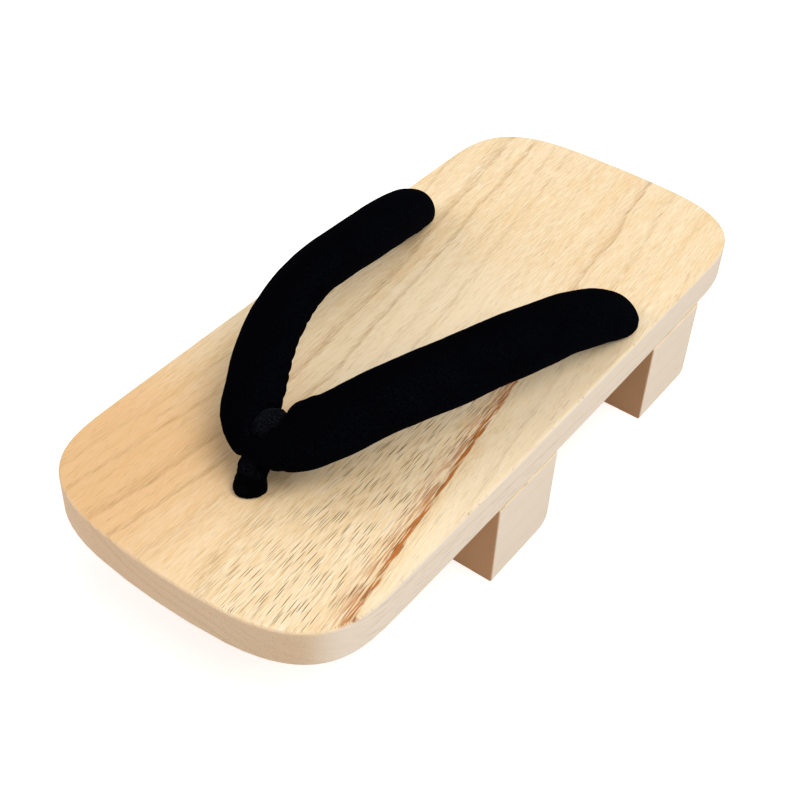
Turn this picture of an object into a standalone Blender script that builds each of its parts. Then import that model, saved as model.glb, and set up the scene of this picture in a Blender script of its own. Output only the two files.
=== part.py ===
"""Geta sandal: a wooden board on two teeth, worn with a padded velvet thong.

Units are metres and +Z is up. The toe points along -Y, and +X is on the wearer's left.
The origin is on the ground, under the middle of the board.
"""
from collections import namedtuple
from math import cos, pi, radians, sin

import bmesh
import bpy
import numpy as np

# Board
BOARD_LENGTH = 0.260
BOARD_THICKNESS = 0.0144
TOE_WIDTH = 0.1128
MIDDLE_WIDTH = 0.1138
HEEL_WIDTH = 0.1122
TOE_CORNER = 0.0445
HEEL_CORNER = 0.0405
TOE_BOW = 0.0065
HEEL_BOW = 0.0040
BOW_REACH = 0.060
BOARD_EDGE = 0.0011

# Teeth, glued under the board
TOOTH_LENGTH = 0.0334
TOOTH_HEIGHT = 0.0334
FRONT_TOOTH_FROM_TOE = 0.0906
REAR_TOOTH_FROM_HEEL = 0.0385
TOOTH_EDGE = 0.0006
FRONT_TOOTH_BACK_ROUND = 0.0050
REAR_TOOTH_BACK_ROUND = 0.0025

# Holes for the thong
HOLE_RADIUS = 0.0045
FRONT_HOLE_FROM_TOE = 0.0407
REAR_HOLE_FROM_SIDE = 0.0120

# Straps: greatest width and thickness, and how high the middle line of their arch stands
STRAP_WIDTH = 0.0210
STRAP_THICKNESS = 0.0170
STRAP_RISE = 0.0250

# Toe loop: a band round the straps' neck, on a gathered stem
NECK_RADIUS = 0.0042
BAND_WIDTH = 0.0085
BAND_THICKNESS = 0.0042
STEM_WIDTH = 0.0100

# Cord ends: how far they reach up into the cloth, and their knots under the board
CORD_END_REACH = 0.0020
KNOT_RADIUS = 0.0065
KNOT_HEIGHT = 0.0080
KNOT_TO_TOOTH = 0.0010

# Gaps between pieces
GLUE_GAP = 0.0003
CLOTH_GAP = 0.0003

# How square the corners are: 2 is a quarter circle, more is squarer
TOE_SQUARENESS = 3.8
HEEL_SQUARENESS = 3.3
KNOT_SQUARENESS = 3.3

# Fineness of the meshes
CORNER_STEPS = 16
SIDE_STEPS = 8
EDGE_STEPS = 2
ARC_STEPS = 6
TURN_STEPS = 28
RING_POINTS = 24
SPAN_STEPS = 4
KNOT_STEPS = 12
MERGE_DISTANCE = 0.00001
SHARP_ANGLE = 40

BOARD_UNDERSIDE = TOOTH_HEIGHT + GLUE_GAP
BOARD_TOP = BOARD_UNDERSIDE + BOARD_THICKNESS
TOE_END = -BOARD_LENGTH / 2
HEEL_END = BOARD_LENGTH / 2
FRONT_TOOTH_FACE = TOE_END + FRONT_TOOTH_FROM_TOE
REAR_TOOTH_FACE = HEEL_END - REAR_TOOTH_FROM_HEEL - TOOTH_LENGTH
FRONT_HOLE_Y = TOE_END + FRONT_HOLE_FROM_TOE
REAR_HOLE_Y = REAR_TOOTH_FACE - KNOT_TO_TOOTH - KNOT_RADIUS
TAIL_RADIUS = HOLE_RADIUS - CLOTH_GAP
BAND_RADIUS = NECK_RADIUS + CLOTH_GAP + BAND_THICKNESS / 2

# Sections of one strap, from where it passes the other at the toe to its rear hole.
# along: share of the run from the front hole to the rear holes
# out: share of the rear holes' distance from the middle
# rise, width, thick: shares of STRAP_RISE, STRAP_WIDTH and STRAP_THICKNESS
# roof: degrees by which the section slopes down to its outer edge
Section = namedtuple("Section", "along out rise width thick roof")
LEFT_ARM = (
    Section(0.040, -0.08, 0.50, 0.54, 0.56, 4),
    Section(0.051, 0.02, 0.51, 0.71, 0.76, 6),
    Section(0.063, 0.12, 0.53, 0.76, 0.80, 9),
    Section(0.093, 0.22, 0.60, 0.91, 0.81, 13),
    Section(0.133, 0.33, 0.72, 0.93, 0.81, 17),
    Section(0.198, 0.46, 0.89, 0.94, 0.82, 20),
    Section(0.411, 0.69, 0.92, 1.00, 0.86, 29),
    Section(0.617, 0.86, 0.82, 0.98, 0.95, 33),
    Section(0.808, 0.97, 0.58, 0.92, 1.00, 34),
    Section(0.910, 1.02, 0.31, 0.84, 0.88, 34),
    Section(0.972, 1.03, 0.07, 0.75, 0.72, 34),
    Section(0.997, 1.01, -0.12, 0.66, 0.66, 34),
)
RIGHT_ARM = (
    Section(0.040, -0.08, 0.48, 0.54, 0.56, 4),
    Section(0.049, 0.02, 0.49, 0.71, 0.76, 6),
    Section(0.061, 0.12, 0.50, 0.76, 0.80, 9),
    Section(0.089, 0.22, 0.56, 0.88, 0.80, 13),
    Section(0.137, 0.31, 0.65, 0.94, 0.80, 17),
    Section(0.211, 0.44, 0.79, 0.95, 0.82, 20),
    Section(0.427, 0.66, 0.99, 1.00, 0.86, 29),
    Section(0.641, 0.71, 0.90, 0.98, 0.95, 35),
    Section(0.832, 0.80, 0.64, 0.92, 1.00, 35),
    Section(0.938, 0.89, 0.36, 0.84, 0.94, 35),
    Section(0.997, 0.96, 0.10, 0.76, 0.86, 34),
    Section(1.010, 0.98, -0.12, 0.67, 0.76, 34),
)

# The straps' neck, which the toe loop grips, in the same shares
NECK_ALONG = 0.077
NECK_RISE = 0.49

# Sections of the toe loop's gathered stem, from the board up into the band.
# rise: share of the way up to the middle of the band
# back: share of the way from the hole back to the front of the band
# width, depth: shares of STEM_WIDTH
StemSection = namedtuple("StemSection", "rise back width depth")
STEM = (
    StemSection(-0.08, 0.00, 0.96, 0.90),
    StemSection(0.14, 0.05, 1.00, 0.94),
    StemSection(0.30, 0.20, 0.92, 0.80),
    StemSection(0.47, 0.38, 1.04, 0.84),
    StemSection(0.66, 0.66, 0.92, 0.62),
    StemSection(0.92, 0.94, 0.80, 0.36),
)


def half_width(y):
    """Half the board's width at y, as if its sides ran on past the corners."""
    share = y / (BOARD_LENGTH / 2)
    lean = (HEEL_WIDTH - TOE_WIDTH) / 4
    spread = (HEEL_WIDTH + TOE_WIDTH) / 4 - MIDDLE_WIDTH / 2
    return MIDDLE_WIDTH / 2 + lean * share + spread * share ** 2


REAR_HOLE_X = half_width(REAR_HOLE_Y) - REAR_HOLE_FROM_SIDE


def clear_scene():
    for thing in list(bpy.data.objects):
        bpy.data.objects.remove(thing, do_unlink=True)
    for mesh in list(bpy.data.meshes):
        bpy.data.meshes.remove(mesh)


def new_collection(name):
    collection = bpy.data.collections.new(name)
    bpy.context.scene.collection.children.link(collection)
    return collection


def add_object(name, data, collection, location=(0, 0, 0)):
    thing = bpy.data.objects.new(name, data)
    thing.location = location
    collection.objects.link(thing)
    return thing


def material(name, colour, roughness):
    made = bpy.data.materials.new(name)
    made.use_nodes = True
    shader = made.node_tree.nodes["Principled BSDF"]
    shader.inputs["Base Color"].default_value = (*colour, 1)
    shader.inputs["Roughness"].default_value = roughness
    shader.inputs["Metallic"].default_value = 0
    return made


def smooth_shading(mesh):
    mesh.shade_smooth()
    mesh.set_sharp_from_angle(angle=radians(SHARP_ANGLE))


def plate(name, outline, depth, edge, collection):
    """A flat outline given a thickness and rounded edges, as one closed mesh."""
    curve = bpy.data.curves.new(name, "CURVE")
    curve.dimensions = "2D"
    curve.fill_mode = "BOTH"
    curve.extrude = depth / 2 - edge
    curve.bevel_depth = edge
    curve.bevel_resolution = EDGE_STEPS
    curve.offset = -edge
    spline = curve.splines.new("POLY")
    spline.points.add(len(outline) - 1)
    for point, (x, y) in zip(spline.points, outline):
        point.co = (x, y, 0, 1)
    spline.use_cyclic_u = True
    drawn = add_object(name + "_outline", curve, collection)
    evaluated = drawn.evaluated_get(bpy.context.evaluated_depsgraph_get())
    mesh = bpy.data.meshes.new_from_object(evaluated)
    bpy.data.objects.remove(drawn, do_unlink=True)
    mesh.name = name
    work = bmesh.new()
    work.from_mesh(mesh)
    bmesh.ops.remove_doubles(work, verts=work.verts, dist=MERGE_DISTANCE)
    work.to_mesh(mesh)
    work.free()
    smooth_shading(mesh)
    return mesh


def board_end(sign, corner, squareness, bow):
    """The +X half of one end of the board, from its middle out to the straight side."""
    points = [(0, sign * BOARD_LENGTH / 2)]
    for step in range(CORNER_STEPS + 1):
        turn = pi / 2 * step / CORNER_STEPS
        depth = corner * (1 - cos(turn) ** (2 / squareness))
        side = half_width(sign * (BOARD_LENGTH / 2 - depth))
        x = side - corner + corner * sin(turn) ** (2 / squareness)
        fade = max(0, 1 - depth / BOW_REACH)
        depth += bow * (fade * x / side) ** 2
        points.append((x, sign * (BOARD_LENGTH / 2 - depth)))
    return points


def board_outline():
    toe = board_end(-1, TOE_CORNER, TOE_SQUARENESS, TOE_BOW)
    heel = board_end(1, HEEL_CORNER, HEEL_SQUARENESS, HEEL_BOW)
    toe_side = toe[-1][1]
    heel_side = heel[-1][1]
    side = []
    for step in range(1, SIDE_STEPS):
        y = toe_side + (heel_side - toe_side) * step / SIDE_STEPS
        side.append((half_width(y), y))
    left = toe + side + heel[::-1]
    right = [(-x, y) for x, y in left[-2:0:-1]]
    return left + right


def tooth_outline(back_round):
    """A tooth seen from the side, ground at the bottom, with its back lower edge rounded."""
    outline = [(0, TOOTH_HEIGHT), (0, 0)]
    for step in range(ARC_STEPS + 1):
        turn = pi / 2 * step / ARC_STEPS
        along = TOOTH_LENGTH - back_round * (1 - sin(turn))
        outline.append((along, back_round * (1 - cos(turn))))
    outline.append((TOOTH_LENGTH, TOOTH_HEIGHT))
    return outline


def ring_points(centre, across, through, count):
    """An ellipse of points about centre, with two half axes."""
    turns = [2 * pi * step / count for step in range(count)]
    return [centre + across * cos(turn) + through * sin(turn) for turn in turns]


def loft(name, rings):
    """A closed skin over rings of points, its two ends filled."""
    work = bmesh.new()
    rows = [[work.verts.new(point) for point in ring] for ring in rings]
    count = len(rings[0])
    for row, after in zip(rows, rows[1:]):
        for step in range(count):
            onward = (step + 1) % count
            work.faces.new((row[step], row[onward], after[onward], after[step]))
    work.faces.new(reversed(rows[0]))
    work.faces.new(rows[-1])
    bmesh.ops.recalc_face_normals(work, faces=work.faces)
    mesh = bpy.data.meshes.new(name)
    work.to_mesh(mesh)
    work.free()
    smooth_shading(mesh)
    return mesh


def between(rows, places, steps):
    """Rows of numbers filled in with smooth curves, by how far apart their places lie."""
    rows = np.array(rows, float)
    gaps = np.linalg.norm(np.diff(places, axis=0), axis=1)
    walked = np.concatenate([[0], np.cumsum(gaps)])
    slopes = np.gradient(rows, walked, axis=0)
    filled = []
    for index, gap in enumerate(gaps):
        start, end = rows[index], rows[index + 1]
        leave, arrive = slopes[index] * gap, slopes[index + 1] * gap
        for step in range(steps):
            t = step / steps
            bend = leave * t * (1 - t) ** 2 - arrive * t ** 2 * (1 - t)
            filled.append(start + (end - start) * t ** 2 * (3 - 2 * t) + bend)
    filled.append(rows[-1])
    return np.array(filled)


def from_front_hole(along):
    return FRONT_HOLE_Y + along * (REAR_HOLE_Y - FRONT_HOLE_Y)


def strap_mesh(name, sections, side):
    """One padded strap above the board's top, side being 1 for left and -1 for right."""
    rows = []
    for section in sections:
        rows.append((
            side * section.out * REAR_HOLE_X,
            from_front_hole(section.along),
            section.rise * STRAP_RISE,
            section.width * STRAP_WIDTH / 2,
            section.thick * STRAP_THICKNESS / 2,
            radians(section.roof),
        ))
    filled = between(rows, np.array(rows)[:, :3], SPAN_STEPS)
    middles = filled[:, :3]
    rings = []
    for ahead, row in zip(np.gradient(middles, axis=0), filled):
        ahead = ahead / np.linalg.norm(ahead)
        out = side * np.cross(ahead, (0, 0, 1))
        out = out / np.linalg.norm(out)
        above = side * np.cross(out, ahead)
        half_wide, half_thick, roof = row[3:]
        across = half_wide * (out * cos(roof) - above * sin(roof))
        through = half_thick * (above * cos(roof) + out * sin(roof))
        rings.append(ring_points(row[:3], across, through, RING_POINTS))
    return loft(name, rings)


def neck_middle():
    """The middle of the straps' neck, above the board's top."""
    return np.array((0, from_front_hole(NECK_ALONG), NECK_RISE * STRAP_RISE))


def stem_mesh(grow):
    """The toe loop's gathered stem, from the front hole up into the band."""
    centre = neck_middle()
    band_front = centre[1] - BAND_RADIUS
    rows = []
    for section in STEM:
        y = FRONT_HOLE_Y + section.back * (band_front - FRONT_HOLE_Y)
        half_width_here = section.width * STEM_WIDTH / 2 + grow
        half_depth_here = section.depth * STEM_WIDTH / 2 + grow
        rows.append((0, y, section.rise * centre[2], half_width_here, half_depth_here))
    filled = between(rows, np.array(rows)[:, :3], SPAN_STEPS)
    rings = []
    for row in filled:
        across = np.array((row[3], 0, 0))
        through = np.array((0, row[4], 0))
        rings.append(ring_points(row[:3], across, through, RING_POINTS))
    return loft("stem", rings)


def turned(name, profile, axis, collection, location, closed=False):
    """A profile in the XZ plane, turned once round an axis."""
    mesh = bpy.data.meshes.new(name)
    edges = [(step, step + 1) for step in range(len(profile) - 1)]
    if closed:
        edges.append((len(profile) - 1, 0))
    mesh.from_pydata([(x, 0, z) for x, z in profile], edges, [])
    thing = add_object(name, mesh, collection, location)
    screw = thing.modifiers.new("turn", "SCREW")
    screw.axis = axis
    screw.steps = TURN_STEPS
    screw.render_steps = TURN_STEPS
    screw.use_merge_vertices = True
    screw.merge_threshold = MERGE_DISTANCE
    return thing


def band(name, grow, collection):
    """The toe loop's band, a ring standing across the straps' neck."""
    half_wide = BAND_WIDTH / 2 + grow
    half_thick = BAND_THICKNESS / 2 + grow
    profile = []
    for step in range(RING_POINTS):
        turn = 2 * pi * step / RING_POINTS
        profile.append((-half_wide * sin(turn), BAND_RADIUS + half_thick * cos(turn)))
    x, y, z = neck_middle()
    return turned(name, profile, "X", collection, (x, y, BOARD_TOP + z), closed=True)


def cord_end(name, x, y, collection):
    """A cord end through a hole, with its knot just under the board."""
    knot_top = -BOARD_THICKNESS - CLOTH_GAP
    profile = [(0, CORD_END_REACH), (TAIL_RADIUS, CORD_END_REACH), (TAIL_RADIUS, knot_top)]
    for step in range(1, KNOT_STEPS):
        turn = pi * step / KNOT_STEPS
        out = KNOT_RADIUS * sin(turn) ** (2 / KNOT_SQUARENESS)
        if turn > pi / 2 or out > TAIL_RADIUS:
            profile.append((out, knot_top - KNOT_HEIGHT / 2 * (1 - cos(turn))))
    profile.append((0, knot_top - KNOT_HEIGHT))
    return turned(name, profile, "Z", collection, (x, y, BOARD_TOP))


def hole_cutter(name, x, y, collection):
    bpy.ops.mesh.primitive_cylinder_add(
        vertices=TURN_STEPS,
        radius=HOLE_RADIUS,
        depth=2 * BOARD_THICKNESS,
        location=(x, y, BOARD_TOP - BOARD_THICKNESS / 2),
    )
    return move_to(bpy.context.object, name, collection)


def board_space(name, collection):
    """The block that cloth above the board stays out of."""
    bpy.ops.mesh.primitive_cube_add(
        size=BOARD_LENGTH,
        location=(0, 0, BOARD_TOP + CLOTH_GAP - BOARD_LENGTH / 2),
    )
    return move_to(bpy.context.object, name, collection)


def move_to(thing, name, collection):
    thing.name = name
    for holder in list(thing.users_collection):
        holder.objects.unlink(thing)
    collection.objects.link(thing)
    return thing


def combine(target, other, operation):
    modifier = target.modifiers.new(other.name, "BOOLEAN")
    modifier.object = other
    modifier.operation = operation
    modifier.solver = "MANIFOLD"


def make_board(parts, tools):
    outline = board_outline()
    mesh = plate("board", outline, BOARD_THICKNESS, BOARD_EDGE, tools)
    board = add_object("board", mesh, parts, (0, 0, BOARD_TOP - BOARD_THICKNESS / 2))
    holes = {
        "front_hole": (0, FRONT_HOLE_Y),
        "left_hole": (REAR_HOLE_X, REAR_HOLE_Y),
        "right_hole": (-REAR_HOLE_X, REAR_HOLE_Y),
    }
    for name, (x, y) in holes.items():
        combine(board, hole_cutter(name, x, y, tools), "DIFFERENCE")
    return board


def make_tooth(name, face, back_round, parts, tools):
    width = 2 * half_width(face + TOOTH_LENGTH / 2)
    mesh = plate(name, tooth_outline(back_round), width, TOOTH_EDGE, tools)
    tooth = add_object(name, mesh, parts, (0, face, 0))
    tooth.rotation_euler = (pi / 2, 0, pi / 2)
    return tooth


def make_thong(parts, tools):
    above_board = (0, 0, BOARD_TOP)
    left = strap_mesh("left_strap", LEFT_ARM, 1)
    right = strap_mesh("right_strap", RIGHT_ARM, -1)
    straps = add_object("thong_straps", left, parts, above_board)
    combine(straps, add_object("right_strap", right, tools, above_board), "UNION")
    combine(straps, board_space("space_below_straps", tools), "DIFFERENCE")
    combine(straps, band("band_space", CLOTH_GAP, tools), "DIFFERENCE")
    stem_space = add_object("stem_space", stem_mesh(CLOTH_GAP), tools, above_board)
    combine(straps, stem_space, "DIFFERENCE")
    for side, name in ((1, "left_cord_end"), (-1, "right_cord_end")):
        end = cord_end(name, side * REAR_HOLE_X, REAR_HOLE_Y, tools)
        combine(straps, end, "UNION")
    return straps


def make_toe_loop(parts, tools):
    loop = add_object("toe_loop", stem_mesh(0), parts, (0, 0, BOARD_TOP))
    combine(loop, board_space("space_below_loop", tools), "DIFFERENCE")
    combine(loop, band("loop_band", 0, tools), "UNION")
    combine(loop, cord_end("loop_cord_end", 0, FRONT_HOLE_Y, tools), "UNION")
    return loop


def main():
    clear_scene()
    parts = new_collection("geta_sandal")
    tools = new_collection("cutters")
    whole = add_object("geta", None, parts)
    wood = material("paulownia_board", (0.62, 0.45, 0.27), 0.55)
    tooth_wood = material("paulownia_teeth", (0.60, 0.42, 0.25), 0.60)
    velvet = material("velvet_straps", (0.010, 0.010, 0.014), 0.90)
    loop_velvet = material("velvet_loop", (0.008, 0.008, 0.011), 0.90)
    made = (
        (make_board(parts, tools), wood),
        (make_tooth("front_tooth", FRONT_TOOTH_FACE, FRONT_TOOTH_BACK_ROUND, parts, tools),
         tooth_wood),
        (make_tooth("rear_tooth", REAR_TOOTH_FACE, REAR_TOOTH_BACK_ROUND, parts, tools),
         tooth_wood),
        (make_thong(parts, tools), velvet),
        (make_toe_loop(parts, tools), loop_velvet),
    )
    for thing, finish in made:
        thing.data.materials.clear()
        thing.data.materials.append(finish)
        thing.parent = whole
    for tool in tools.objects:
        tool.hide_render = True
        tool.display_type = "WIRE"


main()
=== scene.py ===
"""Looks of a wooden geta sandal with a padded velvet thong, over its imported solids.

Units are metres, or millimetres where a name ends in _mm, and +Z is up.
The toe points along -Y, and +X is on the wearer's left.
"""

from collections import namedtuple
from math import cos, pi, radians, sin

import bpy
import numpy as np
from mathutils import Matrix, Vector, noise


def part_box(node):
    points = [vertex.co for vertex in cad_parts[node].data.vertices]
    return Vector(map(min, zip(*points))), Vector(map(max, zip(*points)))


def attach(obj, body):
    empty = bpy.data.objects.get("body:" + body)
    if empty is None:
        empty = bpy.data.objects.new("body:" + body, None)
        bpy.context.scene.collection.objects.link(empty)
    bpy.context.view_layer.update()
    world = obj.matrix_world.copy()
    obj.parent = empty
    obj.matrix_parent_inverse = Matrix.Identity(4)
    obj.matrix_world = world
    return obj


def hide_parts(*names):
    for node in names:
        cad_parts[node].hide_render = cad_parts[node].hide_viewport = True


bl_info = {
    "name": "Geta sandal",
    "version": (1, 0, 0),
    "blender": (4, 5, 0),
    "location": "3D View > Sidebar > Geta",
    "description": "Builds the looks of a wooden geta sandal with a velvet thong",
    "category": "Object",
}

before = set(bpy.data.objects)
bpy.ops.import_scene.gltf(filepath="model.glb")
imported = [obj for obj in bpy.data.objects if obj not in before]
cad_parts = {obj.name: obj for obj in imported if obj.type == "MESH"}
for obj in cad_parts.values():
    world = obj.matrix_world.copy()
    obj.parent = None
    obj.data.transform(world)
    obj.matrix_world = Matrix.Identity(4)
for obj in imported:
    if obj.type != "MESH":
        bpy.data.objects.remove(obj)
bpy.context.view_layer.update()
BOARD_LOW, BOARD_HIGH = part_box("board")
BOARD_TOP = BOARD_HIGH.z
MM = 0.001

# Where the thong's holes are in the board
FRONT_HOLE_Y = -0.0893
REAR_HOLE_Y = 0.0506
REAR_HOLE_X = 0.0447
STRAP_RISE = 0.0250

# Where the cloth starts, just above the board, and the lowest that it is gathered down to
CLOTH_FOOT = BOARD_TOP + 0.0004
CLOTH_LOWEST = BOARD_TOP + 0.0003

# The photograph's view, from ahead of the toe on the wearer's left, aimed at the one sandal
CAMERA_PLACE = (0.190285, -0.289406, 0.3391)
CAMERA_AIM = (0.0040, -0.0200, 0.0350)
CAMERA_ROLL = -3.083
LIGHT_AIM = (0, 0, 0.03)

# Middle lines of the straps, in the shares that the solids use.
# along: share of the run from the front hole to the rear holes
# out: share of the rear holes' distance from the middle
# rise: share of STRAP_RISE above the board
Middle = namedtuple("Middle", "along out rise")
LEFT_ARM = (
    Middle(0.040, -0.08, 0.50),
    Middle(0.063, 0.12, 0.53),
    Middle(0.133, 0.33, 0.72),
    Middle(0.198, 0.46, 0.89),
    Middle(0.411, 0.69, 0.92),
    Middle(0.617, 0.86, 0.82),
    Middle(0.808, 0.97, 0.58),
    Middle(0.910, 1.02, 0.31),
    Middle(0.997, 1.01, -0.12),
)
RIGHT_ARM = (
    Middle(0.040, -0.08, 0.48),
    Middle(0.061, 0.12, 0.50),
    Middle(0.137, 0.31, 0.65),
    Middle(0.211, 0.44, 0.79),
    Middle(0.427, 0.66, 0.99),
    Middle(0.641, 0.71, 0.90),
    Middle(0.832, 0.80, 0.64),
    Middle(0.938, 0.89, 0.36),
    Middle(1.010, 0.98, -0.12),
)
NECK = Vector((0, -0.0785, BOARD_TOP + 0.01225))

# Growth lines that stand out on the board's top.
# place_mm: across the board, where the line passes its middle
# width_mm: how far the darker late wood reaches before the line
# strength: how dark it is, from 0 to 1
GrowthLine = namedtuple("GrowthLine", "place_mm width_mm strength")
BOARD_LINES = (
    GrowthLine(-50.0, 3.0, 0.24),
    GrowthLine(-41.0, 2.2, 0.36),
    GrowthLine(-26.5, 5.5, 0.48),
    GrowthLine(-18.0, 2.2, 0.52),
    GrowthLine(-9.0, 2.0, 0.22),
    GrowthLine(-2.0, 2.0, 0.30),
    GrowthLine(12.0, 3.0, 0.12),
    GrowthLine(35.5, 2.6, 0.42),
    GrowthLine(46.5, 2.5, 0.25),
)
TOOTH_LINES = (
    GrowthLine(-36.0, 2.4, 0.45),
    GrowthLine(-14.0, 2.0, 0.35),
    GrowthLine(8.0, 2.2, 0.40),
    GrowthLine(26.0, 2.0, 0.45),
    GrowthLine(43.0, 1.6, 0.75),
)

# The cord and its knots, in metres
CORD_RADIUS = 0.0012
KNOT_DROP = 0.0053
KNOT_LOOP = 0.0013
KNOT_RISE = 0.0015

# The wood's pattern, in millimetres.
# Growth rings lean across by RING_LEAN for each millimetre along, in an arch on the wearer's right
RING_LEAN = 0.17
ARCH_REACH = 40.0
ARCH_MIDDLE = -60.0
ARCH_START = 13.3
RING_WANDER = 7.0
RING_JITTER = 1.8
LINES_REACH = 60.0
LINE_FALL = 0.6
FAINT_PITCH = 7.5
FAINT_STRENGTH = 0.13
STREAK_START = 26.0
STREAK_LINE = 35.5

# How far from the middle of its cell a pore's edge and floor are, in shares of the cell
PORE_EDGE = 0.23
PORE_FLOOR = 0.12

# How widely the flats of the board's upright corners are smoothed, in metres
CORNER_EASE = 0.0035

# Settings that many shader nodes share
SMOOTH = {"interpolation_type": "SMOOTHSTEP"}
TIMES = {"operation": "MULTIPLY"}
LAID = {"data_type": "RGBA"}

# Places along the straps, in metres from the toe: the middle, the reach to each side, and how much
Spot = namedtuple("Spot", "along reach much")
GATHERS_ON_RIGHT = Spot(0.040, 0.030, 1.0)
GATHERS_ON_LEFT = Spot(0.017, 0.008, 0.9)
FULLER_ON_LEFT = (Spot(0.019, 0.007, 0.0015), Spot(0.034, 0.020, 0.0008))


def linear(code):
    """An sRGB hex colour as the linear numbers that Blender mixes."""
    shares = [int(code[at:at + 2], 16) / 255 for at in (1, 3, 5)]
    return [s / 12.92 if s <= 0.04045 else ((s + 0.055) / 1.055) ** 2.4 for s in shares]


def colour_of(prop):
    return (*prop, 1)


def add(tree, kind, settings):
    """Adds one node and gives its outputs. A setting that is a socket is linked, others are set."""
    node = tree.nodes.new("ShaderNode" + kind)
    for name, value in settings.items():
        if isinstance(value, bpy.types.NodeSocket):
            tree.links.new(value, node.inputs[name])
        elif isinstance(name, int) or name in node.inputs:
            node.inputs[name].default_value = value
        else:
            setattr(node, name, value)
    return node.outputs


def new_material(name):
    """A material with a bare Principled shader, and its tree and shader."""
    made = bpy.data.materials.new(name)
    made.use_nodes = True
    return made, made.node_tree, made.node_tree.nodes["Principled BSDF"]


class WoodLook(bpy.types.PropertyGroup):
    face: bpy.props.FloatVectorProperty(
        name="Face", description="Planed face of the board",
        subtype="COLOR", default=linear("#E9CA98"), min=0, max=1)
    pale: bpy.props.FloatVectorProperty(
        name="Pale wood", description="Early wood, and the long sides",
        subtype="COLOR", default=linear("#F7E7C9"), min=0, max=1)
    warm: bpy.props.FloatVectorProperty(
        name="Browner wood", description="Face of the board at the toe, on the wearer's right",
        subtype="COLOR", default=linear("#DDAE76"), min=0, max=1)
    # The long sides' paler tone is partly the sawn wood's own and partly painted light, for their
    # bright lighting
    side: bpy.props.FloatVectorProperty(
        name="Long sides", description="The sawn long sides of board and teeth",
        subtype="COLOR", default=linear("#F3E9DA"), min=0, max=1)
    end: bpy.props.FloatVectorProperty(
        name="End grain", description="The sawn toe and heel ends",
        subtype="COLOR", default=linear("#E0C5A6"), min=0, max=1)
    # Painted shade: the teeth's faces towards the toe get a darker colour, for the shadow under the
    # board
    toe_side_painted_shade: bpy.props.FloatVectorProperty(
        name="Toe side of the teeth", description="The teeth's faces towards the toe",
        subtype="COLOR", default=linear("#BE8B5E"), min=0, max=1)
    line: bpy.props.FloatVectorProperty(
        name="Growth lines", description="Late wood at each growth line",
        subtype="COLOR", default=linear("#B08A58"), min=0, max=1)
    streak: bpy.props.FloatVectorProperty(
        name="Streak", description="The reddish streak on the wearer's left",
        subtype="COLOR", default=linear("#B76C2C"), min=0, max=1)
    pore: bpy.props.FloatVectorProperty(
        name="Pores", description="Open pores along the grain",
        subtype="COLOR", default=linear("#57380F"), min=0, max=1)
    pore_length: bpy.props.FloatProperty(
        name="Pore length", description="Length of the cells that hold one pore each",
        unit="LENGTH", default=0.0160, min=0.001, max=0.05)
    pore_spacing: bpy.props.FloatProperty(
        name="Pore spacing", description="How far apart pores lie across the grain",
        unit="LENGTH", default=0.00046, min=0.0002, max=0.01)
    relief: bpy.props.FloatProperty(
        name="Relief", description="How deep the pores and fibres stand in the surface",
        unit="LENGTH", default=0.00004, min=0, max=0.002)


class VelvetLook(bpy.types.PropertyGroup):
    cloth: bpy.props.FloatVectorProperty(
        name="Velvet", description="The cloth seen down its pile",
        subtype="COLOR", default=linear("#020203"), min=0, max=1)
    # Nap colour: painted sheen on the straps where they face the light, and the lighter strands of
    # the cord
    nap_and_painted_sheen: bpy.props.FloatVectorProperty(
        name="Nap", description="Pile that leans to the light",
        subtype="COLOR", default=linear("#10131B"), min=0, max=1)
    # The loop's top colour is painted sheen, mixed in where the loop faces up
    painted_top_sheen: bpy.props.FloatVectorProperty(
        name="Rubbed pile", description="Pile that is rubbed up on top of the toe loop",
        subtype="COLOR", default=linear("#25272F"), min=0, max=1)
    lint: bpy.props.FloatVectorProperty(
        name="Lint", description="Specks of lint on the velvet",
        subtype="COLOR", default=linear("#6F6F72"), min=0, max=1)
    voxel: bpy.props.FloatProperty(
        name="Cloth mesh", description="Size of the mesh of the straps' cloth",
        unit="LENGTH", default=0.0014, min=0.0008, max=0.006)
    fine_voxel: bpy.props.FloatProperty(
        name="Fine cloth mesh", description="Size of the mesh of the toe loop's cloth",
        unit="LENGTH", default=0.0006, min=0.0004, max=0.003)
    swell: bpy.props.FloatProperty(
        name="Swell", description="Most that the stuffing pushes the cloth out",
        unit="LENGTH", default=0.0008, min=0, max=0.003)
    fullness: bpy.props.FloatProperty(
        name="Fullness", description="How far the whole of the straps' cloth stands out",
        unit="LENGTH", default=0.0008, min=0, max=0.003)
    gather_pitch: bpy.props.FloatProperty(
        name="Gather pitch", description="Distance between the gathers on the inner edges",
        unit="LENGTH", default=0.0052, min=0.001, max=0.02)
    gather_depth: bpy.props.FloatProperty(
        name="Gather depth", description="Depth of the gathers on the inner edges",
        unit="LENGTH", default=0.0008, min=0, max=0.003)
    seam_depth: bpy.props.FloatProperty(
        name="Seam depth", description="Depth of the seam under each strap",
        unit="LENGTH", default=0.0007, min=0, max=0.003)


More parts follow.
